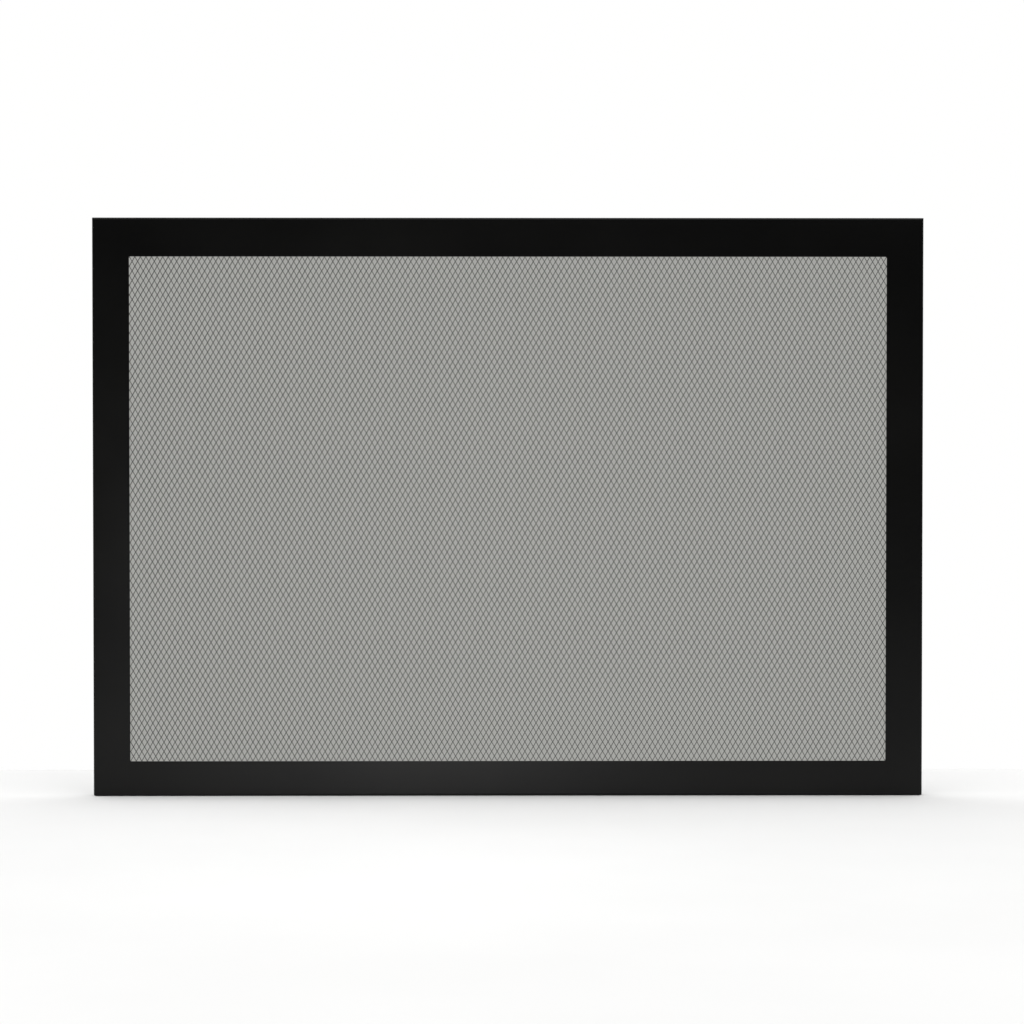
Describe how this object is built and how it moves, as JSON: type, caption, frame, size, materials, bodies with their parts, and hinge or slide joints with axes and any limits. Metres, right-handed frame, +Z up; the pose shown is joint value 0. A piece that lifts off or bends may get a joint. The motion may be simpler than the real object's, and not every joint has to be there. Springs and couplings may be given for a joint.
{
  "type": "fireplace screen",
  "caption": "Flat rectangular fireplace screen: a black steel frame round a fine diamond mesh, hung by hooks behind.",
  "frame": {"origin": "the middle of the four hooks, in the plane of the fireplace face that the bumpers rest on", "axes": "+X to the right seen from the front, +Y towards the back, +Z up"},
  "size_m": [1.0032, 0.026, 0.6984],
  "materials": {
    "frame": "satin black powder coat",
    "gusset": "satin black powder coat over a weld",
    "mesh": "charcoal black paint, a little dusty",
    "clamp_strip": "satin black paint, a little scuffed",
    "stud": "coppered steel thread",
    "nut": "zinc plated",
    "hook": "black powder coat",
    "rivet": "bare steel",
    "bumper": "matt black silicone"
  },
  "bodies": {
    "root": {"top_rail": "frame", "bottom_rail": "frame", "left_stile": "frame", "right_stile": "frame", "top_left_gusset": "gusset", "top_right_gusset": "gusset", "bottom_left_gusset": "gusset", "bottom_right_gusset": "gusset", "mesh_sheet": "mesh", "top_clamp_strip": "clamp_strip", "top_weld_studs": "stud", "top_flange_nuts": "nut", "bottom_clamp_strip": "clamp_strip", "bottom_weld_studs": "stud", "bottom_flange_nuts": "nut", "left_clamp_strip": "clamp_strip", "left_weld_studs": "stud", "left_flange_nuts": "nut", "right_clamp_strip": "clamp_strip", "right_weld_studs": "stud", "right_flange_nuts": "nut", "upper_left_hook": "hook", "upper_left_hook_rivets": "rivet", "upper_left_bumper": "bumper", "upper_right_hook": "hook", "upper_right_hook_rivets": "rivet", "upper_right_bumper": "bumper", "lower_left_hook": "hook", "lower_left_hook_rivets": "rivet", "lower_left_bumper": "bumper", "lower_right_hook": "hook", "lower_right_hook_rivets": "rivet", "lower_right_bumper": "bumper"}
  },
  "joints": []
}
